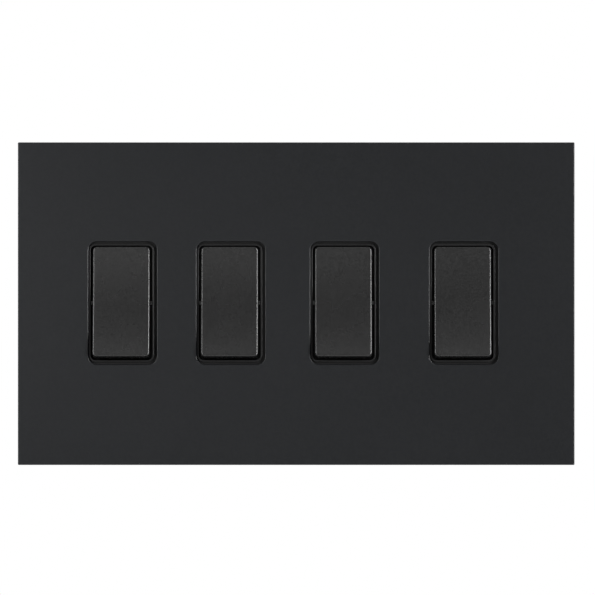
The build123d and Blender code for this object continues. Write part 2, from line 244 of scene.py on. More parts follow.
def peg(name: str, radius: float, length: float, centre: Vector, edge: float,
        sides: int = 48) -> bpy.types.Mesh:
    """A round peg along X with broken edges.

    Args:
        name: Name of the mesh.
        radius: Radius of the peg.
        length: Length along X.
        centre: Middle of the peg.
        edge: Width of the broken edge at both ends.
        sides: Flats round the peg.

    Returns:
        The mesh.
    """
    bm = bmesh.new()
    half = length / 2
    profile = ((-half, radius - edge), (edge - half, radius), (half - edge, radius), (half, radius - edge))
    turns = [2 * math.pi * step / sides for step in range(sides)]
    rings = []
    for x, size in profile:
        rings.append([centre + Vector((x, size * math.cos(turn), size * math.sin(turn))) for turn in turns])
    rows = skin(bm, rings)
    bm.faces.new(rows[0])
    bm.faces.new(rows[-1])
    return closed_mesh(bm, name)


def placed(name: str, data: bpy.types.ID) -> bpy.types.Object:
    """Adds an object to the scene.

    Args:
        name: Name of the object.
        data: The mesh, lamp or camera that it holds.

    Returns:
        The object.
    """
    made = bpy.data.objects.new(name, data)
    bpy.context.scene.collection.objects.link(made)
    return made


def modified(mesh: bpy.types.Mesh, kind: str, **settings: object) -> bpy.types.Mesh:
    """Applies one modifier to a mesh.

    Args:
        mesh: The mesh, which is removed.
        kind: The modifier's type.
        settings: The modifier's properties, or its inputs by their identifiers, and what they hold.

    Returns:
        The new mesh, under the old name.
    """
    name = mesh.name
    holder = placed(name + "_temporary", mesh)
    modifier = holder.modifiers.new("change", kind)
    for key, value in settings.items():
        if hasattr(modifier, key):
            setattr(modifier, key, value)
        else:
            modifier[key] = value
    graph = bpy.context.evaluated_depsgraph_get()
    result = bpy.data.meshes.new_from_object(holder.evaluated_get(graph))
    bpy.data.objects.remove(holder)
    bpy.data.meshes.remove(mesh)
    result.name = name
    return result


def combined(mesh: bpy.types.Mesh, tool: bpy.types.Mesh, cut: Cut) -> bpy.types.Mesh:
    """One closed mesh joined with another, or cut by it.

    Args:
        mesh: The mesh that is kept.
        tool: The mesh that is added or taken away.
        cut: Which of the two.

    Returns:
        The new mesh.
    """
    other = placed(tool.name, tool)
    result = modified(mesh, "BOOLEAN", object=other, operation=cut.value, solver="EXACT")
    bpy.data.objects.remove(other)
    bpy.data.meshes.remove(tool)
    return result


def welded(mesh: bpy.types.Mesh, distance: float) -> bpy.types.Mesh:
    """The mesh without the slivers that joining, cutting or rounding can leave.

    Args:
        mesh: The mesh to clean.
        distance: Points nearer to each other than this become one, in the mesh's own unit.

    Returns:
        The same mesh, cleaned.
    """
    bm = bmesh.new()
    bm.from_mesh(mesh)
    bmesh.ops.remove_doubles(bm, verts=bm.verts, dist=distance)
    bmesh.ops.dissolve_degenerate(bm, dist=distance, edges=bm.edges)
    bm.to_mesh(mesh)
    bm.free()
    return mesh


def smoothed(mesh: bpy.types.Mesh, sharp_angle: float = 38.0) -> bpy.types.Mesh:
    """The mesh shaded smooth but for its sharp edges, with the normals of its large flats kept.

    Args:
        mesh: The mesh to shade.
        sharp_angle: Edges that turn by more than this many degrees stay sharp.

    Returns:
        The shaded mesh.
    """
    mesh.polygons.foreach_set("use_smooth", [True] * len(mesh.polygons))
    mesh.set_sharp_from_angle(angle=math.radians(sharp_angle))
    return modified(mesh, "WEIGHTED_NORMAL", keep_sharp=True)


def add_piece(mesh: bpy.types.Mesh, materials: Materials, slot: Slot, body: str,
              nodes: tuple[str, ...] = ()) -> bpy.types.Object:
    """Puts a finished mesh into the scene as a piece of the switch.

    Args:
        mesh: Mesh in metres, in its place.
        materials: The finishes.
        slot: The record's slot for its finish.
        body: The body that it moves with.
        nodes: The nodes that it stands for.

    Returns:
        The new object.
    """
    mesh.materials.clear()
    mesh.materials.append(materials[slot])
    piece = placed(mesh.name, mesh)
    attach(piece, body)
    if nodes:
        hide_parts(*nodes)
    LOG.info("%s rides on %s, %d faces", piece.name, body, len(mesh.polygons))
    return piece


# Node trees


class Nodes:
    """A node tree that is filled in order."""

    def __init__(self, tree: bpy.types.NodeTree) -> None:
        """Keeps the tree."""
        self.tree = tree

    def feed(self, node: bpy.types.Node, inputs: Inputs) -> None:
        """Sets a node's inputs.

        Args:
            node: The node.
            inputs: What each input holds: a socket to link, or a value.
        """
        for key, value in inputs.items():
            if isinstance(value, Socket):
                self.tree.links.new(value, node.inputs[key])
            else:
                node.inputs[key].default_value = value

    def node(self, kind: str, inputs: Inputs | None = None, **values: object) -> bpy.types.Node:
        """Adds a node.

        Args:
            kind: The node's type.
            inputs: What each input holds: a socket to link, or a value.
            values: The node's plain properties.

        Returns:
            The node.
        """
        made = self.tree.nodes.new(kind)
        for key, value in values.items():
            setattr(made, key, value)
        self.feed(made, inputs or {})
        return made

    def made(self, kind: str, inputs: Inputs | None = None, **values: object) -> Socket:
        """The first output of a new node, which is added as node() adds it."""
        return self.node(kind, inputs, **values).outputs[0]

    def sum(self, operation: str, *terms: Socket | float) -> Socket:
        """The result of a Math node's operation on sockets and numbers."""
        return self.made("ShaderNodeMath", dict(enumerate(terms)), operation=operation)


class Shading(Nodes):
    """A shader node tree."""

    def ramp(self, noise: Socket, low: Colour, high: Colour) -> Socket:
        """A colour that follows a noise.

        Args:
            noise: The noise.
            low: Colour where it is low.
            high: Colour where it is high.

        Returns:
            The colour.
        """
        made = self.node("ShaderNodeValToRGB", {"Fac": noise})
        for element, place, colour in zip(made.color_ramp.elements, NOISE_RANGE, (low, high)):
            element.position = place
            element.color = (*colour, 1)
        return made.outputs["Color"]

    def span(self, value: Socket, low: float, high: float, limits: tuple[float, float] = NOISE_RANGE,
             eased: bool = False) -> Socket:
        """A value stretched to run from low to high.

        Args:
            value: The value.
            low: Result at its lower limit.
            high: Result at its upper limit.
            limits: The value's own limits.
            eased: Whether the result starts and stops gently.

        Returns:
            The stretched value.
        """
        return self.made("ShaderNodeMapRange", {
            "Value": value, "From Min": limits[0], "From Max": limits[1], "To Min": low, "To Max": high},
            interpolation_type="SMOOTHSTEP" if eased else "LINEAR")

    def bump(self, height: Socket, depth: float) -> Socket:
        """Normals that follow a height, which runs over this depth in metres."""
        return self.made("ShaderNodeBump", {"Strength": 1.0, "Distance": depth, "Height": height})

    def mix(self, share: Socket, first: Socket, second: Socket) -> Socket:
        """Two shaders mixed, with this share of the second."""
        return self.made("ShaderNodeMixShader", {0: share, 1: first, 2: second})


SOCKET_KINDS = {float: "NodeSocketFloat", int: "NodeSocketInt", bpy.types.Material: "NodeSocketMaterial"}


class Tree(Nodes):
    """A geometry node tree with named inputs."""

    def __init__(self, name: str, inputs: dict[str, object]) -> None:
        """Starts a tree that takes and gives geometry.

        Args:
            name: Name of the tree.
            inputs: Name and value of each further input.
        """
        super().__init__(bpy.data.node_groups.new(name, "GeometryNodeTree"))
        new_socket = self.tree.interface.new_socket
        for side in ("INPUT", "OUTPUT"):
            new_socket("Geometry", in_out=side, socket_type="NodeSocketGeometry")
        self.values: dict[str, object] = {}
        for key, value in inputs.items():
            made = new_socket(key, in_out="INPUT", socket_type=SOCKET_KINDS[type(value)])
            self.values[made.identifier] = value
        self.start = self.tree.nodes.new("NodeGroupInput").outputs
        self.end = self.tree.nodes.new("NodeGroupOutput")

    def vector(self, x: Socket | float = 0.0, y: Socket | float = 0.0, z: Socket | float = 0.0) -> Socket:
        """A vector of sockets and numbers."""
        return self.made("ShaderNodeCombineXYZ", {0: x, 1: y, 2: z})

    def raised(self, geometry: Socket, height: Socket) -> Socket:
        """Geometry moved along Z."""
        return self.made("GeometryNodeTransform", {
            "Geometry": geometry, "Translation": self.vector(z=height)})

    def close(self, geometry: Socket, material: Socket) -> None:
        """Ends the tree with realised instances in one material.

        Args:
            geometry: The geometry that the tree gives.
            material: Its material.
        """
        real = self.made("GeometryNodeRealizeInstances", {"Geometry": geometry})
        dressed = self.made("GeometryNodeSetMaterial", {"Geometry": real, "Material": material})
        self.feed(self.end, {0: dressed})

    def made_mesh(self, name: str, points: list[Vector]) -> bpy.types.Mesh:
        """Runs the tree on a cloud of points.

        Args:
            name: Name of the new mesh.
            points: The points that it starts from.

        Returns:
            The plain mesh that the tree makes.
        """
        cloud = bpy.data.meshes.new(name)
        cloud.from_pydata(points, [], [])
        return modified(cloud, "NODES", node_group=self.tree, **self.values)


# Finishes


def new_group(name: str, inputs: tuple[str, ...], outputs: tuple[str, ...]) -> Shading:
    """An empty shader node group with named sockets.

    Args:
        name: Name of the group.
        inputs: Input names.
        outputs: Output names.

    Returns:
        The group's tree, with its Group Input and Group Output nodes in place.
    """
    tree = bpy.data.node_groups.new(name, "ShaderNodeTree")
    for side, sockets in (("INPUT", inputs), ("OUTPUT", outputs)):
        for socket in sockets:
            tree.interface.new_socket(socket, in_out=side, socket_type="NodeSocketFloat")
    tree.nodes.new("NodeGroupInput")
    tree.nodes.new("NodeGroupOutput")
    return Shading(tree)


def grain_group() -> bpy.types.NodeTree:
    """The fine moulded or sprayed grain that plastics and paint share.

    Returns:
        A node group that gives Speck, Cloud and Height.
    """
    group = new_group("surface_grain", ("Speck Scale", "Cloud Scale", "Grain Scale"),
                      ("Speck", "Cloud", "Height"))
    scale = group.tree.nodes["Group Input"].outputs
    place = group.node("ShaderNodeTexCoord").outputs["Object"]
    speck = group.made("ShaderNodeTexNoise", {
        "Vector": place, "Scale": scale["Speck Scale"], "Detail": 2.0, "Roughness": 0.6})
    cloud = group.made("ShaderNodeTexNoise", {
        "Vector": place, "Scale": scale["Cloud Scale"], "Detail": 3.0, "Roughness": 0.55})
    grain = group.made("ShaderNodeTexNoise", {"Vector": place, "Scale": scale["Grain Scale"], "Detail": 2.0})
    cells = group.made("ShaderNodeTexVoronoi", {
        "Vector": place, "Scale": scale["Grain Scale"], "Smoothness": 0.6}, feature="SMOOTH_F1")
    height = group.sum("MULTIPLY_ADD", cells, CELL_SHARE, grain)
    group.feed(group.tree.nodes["Group Output"], {"Speck": speck, "Cloud": cloud, "Height": height})
    return group.tree


def patina_group() -> bpy.types.NodeTree:
    """The uneven skin of bare and plated metal, with drawn marks along X.

    Returns:
        A node group that gives Flake, Stain and Drawn.
    """
    group = new_group("metal_patina", ("Flake Scale", "Stain Scale"), ("Flake", "Stain", "Drawn"))
    scale = group.tree.nodes["Group Input"].outputs
    place = group.node("ShaderNodeTexCoord").outputs["Object"]
    cells = group.node("ShaderNodeTexVoronoi", {"Vector": place, "Scale": scale["Flake Scale"]}, feature="F1")
    flake = group.node("ShaderNodeSeparateColor", {"Color": cells.outputs["Color"]}).outputs["Red"]
    stain = group.made("ShaderNodeTexNoise", {
        "Vector": place, "Scale": scale["Stain Scale"], "Detail": 4.0, "Roughness": 0.6})
    squeezed = group.made("ShaderNodeMapping", {"Vector": place, "Scale": DRAWN_SCALE})
    drawn = group.made("ShaderNodeTexNoise", {"Vector": squeezed, "Scale": 1.0, "Detail": 2.0})
    group.feed(group.tree.nodes["Group Output"], {"Flake": flake, "Stain": stain, "Drawn": drawn})
    return group.tree


GRAIN = grain_group()
PATINA = patina_group()


def new_material(name: str) -> tuple[bpy.types.Material, Shading, bpy.types.Node]:
    """A new material with nodes.

    Args:
        name: Name of the material.

    Returns:
        The material, its node tree and its shader.
    """
    material = bpy.data.materials.new(name)
    material.use_nodes = True
    return material, Shading(material.node_tree), material.node_tree.nodes["Principled BSDF"]


@dataclass(frozen=True)
class Grained:
    """Paint or plastic with a fine grain.

    Attributes:
        name: Name of the material.
        low: Colour of the darkest specks.
        high: Colour of the lightest specks.
        roughness: Lowest and highest roughness.
        gloss: Specular level.
        speck_scale: Specks to a metre.
        cloud_scale: Clouds to a metre.
        grain_scale: Pits and bumps to a metre.
        bump: Depth of the grain in metres.
    """

    name: str
    low: Colour
    high: Colour
    roughness: tuple[float, float]
    gloss: float
    speck_scale: float
    cloud_scale: float
    grain_scale: float
    bump: float

    def material(self) -> bpy.types.Material:
        """Builds the material from nodes.

        Returns:
            The material.
        """
        material, shading, shader = new_material(self.name)
        grain = shading.node("ShaderNodeGroup", {
            "Speck Scale": self.speck_scale, "Cloud Scale": self.cloud_scale,
            "Grain Scale": self.grain_scale}, node_tree=GRAIN).outputs
        shading.feed(shader, {
            "Base Color": shading.ramp(grain["Speck"], self.low, self.high),
            "Roughness": shading.span(grain["Cloud"], *self.roughness),
            "Normal": shading.bump(grain["Height"], self.bump),
            "Specular IOR Level": self.gloss})
        return material


@dataclass(frozen=True)
class BareMetal:
    """Bare or plated metal with flakes, stains and drawn marks.

    Attributes:
        name: Name of the material.
        clean: Colour where it is clean.
        stained: Colour where it is dull.
        roughness: Lowest and highest roughness.
        flake_scale: Crystals to a metre.
        stain_scale: Dull patches to a metre.
        bump: Depth of the drawn marks in metres.
    """

    name: str
    clean: Colour
    stained: Colour
    roughness: tuple[float, float]
    flake_scale: float
    stain_scale: float
    bump: float

    def material(self) -> bpy.types.Material:
        """Builds the material from nodes.

        Returns:
            The material.
        """
        material, shading, shader = new_material(self.name)
        patina = shading.node("ShaderNodeGroup", {
            "Flake Scale": self.flake_scale, "Stain Scale": self.stain_scale}, node_tree=PATINA).outputs
        shading.feed(shader, {
            "Base Color": shading.ramp(patina["Stain"], self.clean, self.stained),
            "Roughness": shading.span(patina["Flake"], *self.roughness),
            "Normal": shading.bump(patina["Drawn"], self.bump),
            "Metallic": 1.0})
        return material


@dataclass(frozen=True)
class Finishes:
    """Every finish of the switch, under the name of its slot."""

    plate: Grained = Grained(
        "matt_black_coat", low=(0.0059, 0.0065, 0.0075), high=(0.0086, 0.0093, 0.0105),
        roughness=(0.275, 0.29), gloss=0.39, speck_scale=1500.0, cloud_scale=45.0, grain_scale=7000.0,
        bump=0.0000015)
    moulding: Grained = Grained(
        "black_moulding", low=(0.0058, 0.0058, 0.006), high=(0.0088, 0.0088, 0.009), roughness=(0.33, 0.35),
        gloss=0.3, speck_scale=3200.0, cloud_scale=80.0, grain_scale=9000.0, bump=0.0000012)
    rocker: Grained = Grained(
        "rocker_plastic", low=(0.001, 0.001, 0.001), high=(0.0112, 0.0112, 0.0113), roughness=(0.265, 0.28),
        gloss=0.74, speck_scale=2300.0, cloud_scale=120.0, grain_scale=7000.0, bump=0.0000012)
    plunger: Grained = Grained(
        "natural_plastic", low=(0.66, 0.65, 0.61), high=(0.74, 0.73, 0.69), roughness=(0.32, 0.4),
        gloss=0.5, speck_scale=2500.0, cloud_scale=90.0, grain_scale=9000.0, bump=0.000001)
    frame: BareMetal = BareMetal(
        "zinc_plate", clean=(0.5, 0.52, 0.54), stained=(0.4, 0.42, 0.43), roughness=(0.3, 0.42),
        flake_scale=420.0, stain_scale=55.0, bump=0.000004)
    spring: BareMetal = BareMetal(
        "spring_wire", clean=(0.6, 0.6, 0.61), stained=(0.44, 0.44, 0.45), roughness=(0.22, 0.28),
        flake_scale=5000.0, stain_scale=300.0, bump=0.000002)
    brass: BareMetal = BareMetal(
        "terminal_brass", clean=(0.76, 0.55, 0.24), stained=(0.6, 0.42, 0.18), roughness=(0.26, 0.33),
        flake_scale=4500.0, stain_scale=120.0, bump=0.000004)
    silver: BareMetal = BareMetal(
        "contact_silver", clean=(0.86, 0.85, 0.82), stained=(0.7, 0.69, 0.66), roughness=(0.24, 0.32),
        flake_scale=5000.0, stain_scale=300.0, bump=0.000003)

    def materials(self) -> Materials:
        """The built material of every slot."""
        return {slot: getattr(self, slot.name.lower()).material() for slot in Slot}


# Sub-assemblies


def module_place(gang: int) -> Vector:
    """The middle of a module seen from the front, in millimetres and at no depth."""
    low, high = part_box(f"housing_{gang}")
    return Vector((low.x + high.x, 0, low.z + high.z)) / 2 / MM


@cache
def plate_face() -> float:
    """The depth of the plate's face, in millimetres."""
    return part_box("front_plate")[0].y / MM


@cache
def pivot_depth() -> float:
    """The depth of the rockers' pivots, in millimetres."""
    joint = next(joint for joint in frame["joints"] if joint["name"] == "rocker_1_tip")
    return joint["pos_m"][1] / MM


@dataclass
class FrontPlate:
    """The flat sheet with its four round-edged windows.

    Attributes:
        window_width: Width of a window.
        window_height: Height of a window.
        window_corner: Corner radius of a window.
        window_edge: Radius of a window's front edge.
        window_play: How far each window lies to the right of its module.
        outline_corner: Corner radius of the sheet.
        outline_edge: Radius of the sheet's front edge.
        least_corner: Least corner radius on that edge.
        edge_steps: Steps in each round edge.
        window_steps: How finely a window is divided.
        outline_steps: How finely the outline is divided.
    """

    window_width: float = 18.05
    window_height: float = 32.6
    window_corner: float = 2.2
    window_edge: float = 0.28
    window_play: float = 0.34
    outline_corner: float = 0.3
    outline_edge: float = 0.25
    least_corner: float = 0.04
    edge_steps: int = 6
    window_steps: Steps = Steps(12)
    outline_steps: Steps = Steps(4)

    def window_rings(self, centre: Vector, face: float, back: float) -> list[Ring]:
        """The rings of one window, from the face through its round edge to the back.

        Args:
            centre: Middle of the window, at no depth.
            face: Depth of the sheet's face.
            back: Depth of the sheet's back.

        Returns:
            The rings.
        """
        rings = []
        for inset, drop in round_over(self.window_edge, self.edge_steps):
            rings.append(rounded_ring(self.window_width + 2 * inset, self.window_height + 2 * inset,
                                      self.window_corner + inset, face + drop, self.window_steps))
        rings.append(rounded_ring(self.window_width, self.window_height, self.window_corner, back,
                                  self.window_steps))
        return [[point + centre for point in ring] for ring in rings]

    def mesh(self) -> bpy.types.Mesh:
        """The sheet as one closed mesh.

        Returns:
            The mesh in metres.
        """
        low, high = (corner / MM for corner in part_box("front_plate"))
        width, height = high.x - low.x, high.z - low.z
        bm = bmesh.new()
        rings = []
        for inset, drop in round_over(self.outline_edge, self.edge_steps):
            corner = max(self.outline_corner - inset, self.least_corner)
            rings.append(rounded_ring(width - 2 * inset, height - 2 * inset, corner, low.y + drop,
                                      self.outline_steps))
        rings.append(rounded_ring(width, height, self.outline_corner, high.y, self.outline_steps))
        rows = skin(bm, rings)
        fronts, backs = [rows[0]], [rows[-1]]
        for gang in GANGS:
            centre = module_place(gang) + self.window_play * RIGHT
            rows = skin(bm, self.window_rings(centre, low.y, high.y))
            fronts.append(rows[0])
            backs.append(rows[-1])
        fill(bm, fronts, -INWARD)
        fill(bm, backs, INWARD)
        mesh = closed_mesh(bm, "front_plate_sheet")
        mesh.transform(Matrix.Scale(MM, 4))
        return smoothed(mesh)

    def dress(self, materials: Materials) -> None:
        """Puts the sheet in place of its node."""
        add_piece(self.mesh(), materials, Slot.PLATE, ROOT_BODY, ("front_plate",))


@dataclass
class Rocker:
    """A dished rocker with round edges, its skirt, ribs, trunnions and boss.

    Attributes:
        width: Width of the cap.
        height: Height of the cap.
        tilt: Angle to the off position, in degrees.
        dish_radius: Radius of the dished face.
        corner: Radius of the face's corners.
        least_corner: Least corner radius of the rings on the face.
        skirt_corner: Radius of the skirt's corners.
        inner_corner: Radius of the corners inside the skirt.
        lip_depth: Depth of the sloping lip at each end.
        lip_rise: How far a lip stands out past its end of the face.
        edge: Radius of the face's long edges.
        end_edge: How far the round of the face's short edges runs in from its ends.
        cap: Thickness of the cap under the middle of the dish.
        wall: Thickness of the skirt.
        rib: Thickness of the two ribs.
        skirt_behind_pivot: How far the skirt's rim lies behind the pivot.
        boss_size: Outer size of the square boss.
        boss_behind_pivot: How far the boss's rim lies behind the pivot.
        bore_size: Size of the square bore in the boss.
        bore_floor: Thickness left between the cap and the bore.
        bore_run_out: How far the bore's cutter runs out past the rim.
        trunnion_radius: Radius of the trunnions.
        trunnion_length: Length of the trunnions.
        trunnion_edge: Width of the trunnions' broken edges.
        joint: How deep joined shapes run into each other.
        seam: Half the width of the strip that closes the face along its middle.
        face_steps: Steps from that strip to the face's corners.
        edge_steps: Steps in the face's round edge.
        ring_steps: How finely each ring is divided.
    """

    width: float = 15.15
    height: float = 28.9
    tilt: float = 5.5
    dish_radius: float = 130.0
    corner: float = 1.1
    least_corner: float = 0.02
    skirt_corner: float = 1.4
    inner_corner: float = 0.05
    lip_depth: float = 1.2
    lip_rise: float = 0.4
    edge: float = 0.42
    end_edge: float = 0.18
    cap: float = 1.7
    wall: float = 1.2
    rib: float = 0.9
    skirt_behind_pivot: float = 1.45
    boss_size: float = 5.2
    boss_behind_pivot: float = 5.6
    bore_size: float = 3.2
    bore_floor: float = 0.9
    bore_run_out: float = 1.0
    trunnion_radius: float = 0.7
    trunnion_length: float = 1.45
    trunnion_edge: float = 0.15
    joint: float = 0.4
    seam: float = 0.25
    face_steps: int = 7
    edge_steps: int = 6
    ring_steps: Steps = Steps(8, 28, 12)

    @property
    def end_depth(self) -> float:
        """Depth of the face's ends in the middle position.

        Returns:
            The depth at which the upper end is flush with the plate when the rocker is tipped to off.
        """
        turn = math.radians(self.tilt)
        pivot = pivot_depth()
        return pivot + (plate_face() - pivot - self.height / 2 * math.sin(turn)) / math.cos(turn)

    @property
    def ceiling(self) -> float:
        """Depth of the cap's inner face."""
        return self.end_depth + self.dish(0) + self.cap

    @property
    def bore_depth(self) -> float:
        """Depth of the bore's floor."""
        return self.ceiling + self.bore_floor

    @property
    def boss_depth(self) -> float:
        """Depth of the boss's rim."""
        return pivot_depth() + self.boss_behind_pivot

    def dish(self, z: float) -> float:
        """How far the face lies behind its ends at this height."""
        half = self.height / 2
        return (math.sqrt(self.dish_radius**2 - min(abs(z), half) ** 2)
                - math.sqrt(self.dish_radius**2 - half**2))

    def face_ring(self, inset: float, drop: float) -> Ring:
        """A ring on the dished face, its round edge or its lips.

        Args:
            inset: How far it lies inside the cap's sides.
            drop: How far it lies below the face.

        Returns:
            The points.
        """
        flare = self.lip_rise * drop / self.lip_depth
        end_inset = inset if inset > self.edge else inset * self.end_edge / self.edge
        ring = rounded_ring(self.width - 2 * inset, self.height - 2 * end_inset + 2 * flare,
                            max(self.corner - inset, self.least_corner), 0.0, self.ring_steps)
        for point in ring:
            point.y = self.end_depth + self.dish(point.z) + drop
        return ring

    def shell(self) -> bpy.types.Mesh:
        """The hollow cap with its skirt, in the middle position.

        Returns:
            The mesh in millimetres.
        """
        bm = bmesh.new()
        middle = self.width / 2 - self.seam
        spread = middle - self.corner
        insets = [middle - spread * step / self.face_steps for step in range(self.face_steps + 1)]
        rings = [self.face_ring(inset, 0.0) for inset in insets]
        rings += [self.face_ring(*step) for step in round_over(self.edge, self.edge_steps)]
        rings.append(self.face_ring(0.0, self.lip_depth))
        skirt_depth = pivot_depth() + self.skirt_behind_pivot
        rings.append(rounded_ring(self.width, self.height + 2 * self.lip_rise, self.skirt_corner,
                                  skirt_depth, self.ring_steps))
        inner = (self.width - 2 * self.wall, self.height - 2 * self.wall, self.inner_corner)
        rings += [rounded_ring(*inner, depth, self.ring_steps) for depth in (skirt_depth, self.ceiling)]
        rows = skin(bm, rings)
        fill(bm, [rows[0]], -INWARD)
        fill(bm, [rows[-1]], INWARD)
        return closed_mesh(bm, "rocker_shell")

    def mesh(self) -> bpy.types.Mesh:
        """The whole rocker in the middle position.

        Returns:
            The mesh in millimetres.
        """
        pivot = pivot_depth()
        start = self.ceiling - self.joint
        inner_width = self.width - 2 * self.wall + 2 * self.joint
        inner_height = self.height - 2 * self.wall + 2 * self.joint
        rib_middle = (start + pivot) / 2
        parts = [
            block("rib", Vector((self.rib, pivot - start, inner_height)), Vector((0, rib_middle, 0))),
            block("rib", Vector((inner_width, pivot - start, self.rib)), Vector((0, rib_middle, 0))),
            block("boss", Vector((self.boss_size, self.boss_depth - start, self.boss_size)),
                  Vector((0, (start + self.boss_depth) / 2, 0))),
        ]
        reach = self.trunnion_length + self.joint
        for side in (-1, 1):
            middle = side * (self.width / 2 + self.trunnion_length - reach / 2)
            parts.append(peg("trunnion", self.trunnion_radius, reach, Vector((middle, pivot, 0)),
                             self.trunnion_edge))
        mesh = self.shell()
        for part in parts:
            mesh = combined(mesh, part, Cut.ADD)
        past = self.boss_depth + self.bore_run_out
        bore = block("bore", Vector((self.bore_size, past - self.bore_depth, self.bore_size)),
                     Vector((0, (self.bore_depth + past) / 2, 0)))
        return welded(combined(mesh, bore, Cut.TAKE_AWAY), WELD)

    def place(self, gang: int) -> Matrix:
        """The way from the middle position in millimetres to a gang's rocker, tipped to off, in metres.

        Args:
            gang: Number of the gang.

        Returns:
            The matrix.
        """
        pivot = Matrix.Translation((0, pivot_depth(), 0))
        tipped = pivot @ Matrix.Rotation(math.radians(-self.tilt), 4, "X") @ pivot.inverted()
        return Matrix.Scale(MM, 4) @ (Matrix.Translation(module_place(gang)) @ tipped)

    def dress(self, materials: Materials) -> None:
        """Puts one finished rocker in place of each rocker node.

        Args:
            materials: The finishes.
        """
        original = self.mesh()
        for gang in GANGS:
            mesh = original.copy()
            mesh.name = f"rocker_cap_{gang}"
            mesh.transform(self.place(gang))
            add_piece(smoothed(mesh), materials, Slot.ROCKER, f"rocker_{gang}", (f"rocker_{gang}",))
        bpy.data.meshes.remove(original)


@dataclass
class PlungerSprings:
    """The round-wire coil springs inside the rockers' bosses.

    Attributes:
        turns: Turns of wire.
        turn_steps: Steps in each turn.
        coil_radius: Radius of the coil at the middle of the wire.
        wire_radius: Radius of the wire.
        wire_sides: Flats round the wire.
        end_gap: Room left at both ends of the spring.
        plunger_reach: How far the plunger's head lies inside the boss's rim.
        keep: Share of its length that a spring keeps with its plunger pressed in; not used.
    """

    turns: float = 3.0
    turn_steps: int = 32
    coil_radius: float = 1.25
    wire_radius: float = 0.2
    wire_sides: int = 12
    end_gap: float = 0.02
    plunger_reach: float = 2.6
    keep: float = 0.73

    def tree(self, height: float, material: bpy.types.Material) -> Tree:
        """The node tree that winds one spring along Z.

        Args:
            height: Height of the coil between the middles of its end wires.
            material: The springs' finish.

        Returns:
            The tree.
        """
        tree = Tree("coil_spring", {
            "turns": self.turns, "turn_steps": self.turn_steps, "coil_radius": self.coil_radius,
            "wire_radius": self.wire_radius, "wire_sides": self.wire_sides, "height": height,
            "material": material})
        size = tree.start
        line = tree.made("GeometryNodeCurveSpiral", {
            "Resolution": size["turn_steps"], "Rotations": size["turns"], "Start Radius": size["coil_radius"],
            "End Radius": size["coil_radius"], "Height": size["height"]})
        wire = tree.made("GeometryNodeCurvePrimitiveCircle", {
            "Resolution": size["wire_sides"], "Radius": size["wire_radius"]})
        coil = tree.made("GeometryNodeCurveToMesh", {"Curve": line, "Profile Curve": wire, "Fill Caps": True})
        tree.close(coil, size["material"])
        return tree

    def dress(self, materials: Materials, rocker: Rocker) -> None:
        """Puts a wound spring in place of each spring node.

        Args:
            materials: The finishes.
            rocker: The rocker that the springs sit in.
        """
        first = rocker.bore_depth + self.end_gap + self.wire_radius
        last = rocker.boss_depth - self.plunger_reach - self.end_gap - self.wire_radius
        tree = self.tree(last - first, materials[Slot.SPRING])
        upright = Matrix.Translation((0, first, 0)) @ Matrix.Rotation(-math.pi / 2, 4, "X")
        for gang in GANGS:
            place = rocker.place(gang)
            mesh = tree.made_mesh(f"coil_spring_{gang}", [Vector()])
            mesh.transform(place @ upright)
            piece = add_piece(smoothed(mesh), materials, Slot.SPRING, f"rocker_{gang}",
                              (f"plunger_spring_{gang}",))
            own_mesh(piece)


